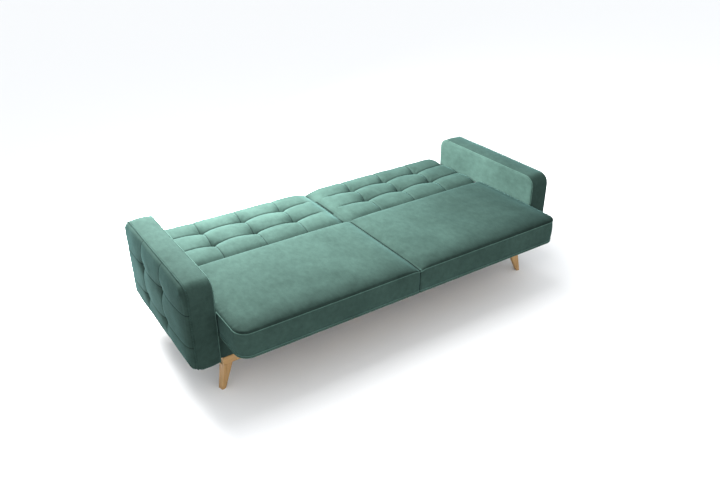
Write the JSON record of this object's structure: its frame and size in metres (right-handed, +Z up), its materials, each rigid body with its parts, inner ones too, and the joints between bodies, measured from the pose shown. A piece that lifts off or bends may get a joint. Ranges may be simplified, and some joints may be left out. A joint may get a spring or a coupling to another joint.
{
  "type": "sofa bed",
  "caption": "Velvet sofa bed opened flat: box arms with tufted outer faces, pull-out seat in two halves, biscuit-tufted folding back and splayed oak legs.",
  "frame": {"origin": "on the floor, under the middle of the opened bed's bounding box", "axes": "+X along the bed's length to its right end, +Y from the seat to the folding back, +Z up"},
  "size_m": [2.192, 1.1, 0.5955],
  "materials": {
    "velvet": "short-pile velvet, matt with a soft sheen",
    "oak": "clear satin lacquer",
    "timber": "planed softwood, unfinished",
    "plywood": "unfinished",
    "dark_cloth": "non-woven lining cloth, matt",
    "steel": "zinc plated",
    "nylon": "moulded, matt"
  },
  "bodies": {
    "base": {"front_oak_rail": "oak", "rear_oak_rail": "oak", "front_apron": "velvet", "rear_board": "velvet", "base_centre_beam": "timber", "dust_cover": "dark_cloth", "left_front_leg": "oak", "right_front_leg": "oak", "left_rear_leg": "oak", "right_rear_leg": "oak", "left_side_board": "timber", "right_side_board": "timber", "left_arm_core": "timber", "right_arm_core": "timber", "left_arm_cover": "velvet", "right_arm_cover": "velvet", "left_arm_outer_pad": "velvet", "right_arm_outer_pad": "velvet", "left_arm_bolt_front": "steel", "right_arm_bolt_front": "steel", "left_arm_bolt_rear": "steel", "right_arm_bolt_rear": "steel", "left_slide_channel": "steel", "right_slide_channel": "steel", "left_front_leg_bolt": "steel", "right_front_leg_bolt": "steel", "left_rear_leg_bolt": "steel", "right_rear_leg_bolt": "steel"},
    "seat": {"seat_front_rail": "timber", "seat_rear_rail": "timber", "seat_centre_rail": "timber", "left_seat_side_rail": "timber", "right_seat_side_rail": "timber", "left_seat_deck": "plywood", "right_seat_deck": "plywood", "left_seat_cushion": "velvet", "right_seat_cushion": "velvet", "left_slide_runner": "steel", "right_slide_runner": "steel", "left_glide_front": "nylon", "right_glide_front": "nylon", "left_glide_rear": "nylon", "right_glide_rear": "nylon", "left_seat_hinge_plate": "steel", "right_seat_hinge_plate": "steel", "left_hinge_rivet": "steel", "right_hinge_rivet": "steel"},
    "back": {"back_rear_panel": "velvet", "back_near_rail": "timber", "back_far_rail": "timber", "back_centre_rail": "timber", "left_back_stile": "timber", "right_back_stile": "timber", "left_back_deck": "plywood", "right_back_deck": "plywood", "left_back_cushion": "velvet", "right_back_cushion": "velvet", "left_back_hinge_arm": "steel", "right_back_hinge_arm": "steel"}
  },
  "joints": [
    {"name": "seat_slide", "type": "slide", "parent": "base", "child": "seat", "axis": [0, 1, 0], "range_m": [0, 0.2]},
    {"name": "back_fold", "type": "hinge", "parent": "seat", "child": "back", "pos_m": [0, 0.097, 0.41], "axis": [1, 0, 0], "range_deg": [0, 80]}
  ],
  "couplings": [
    {"joint": "back_fold", "follows": "seat_slide", "rad_per_m": 6.98}
  ]
}
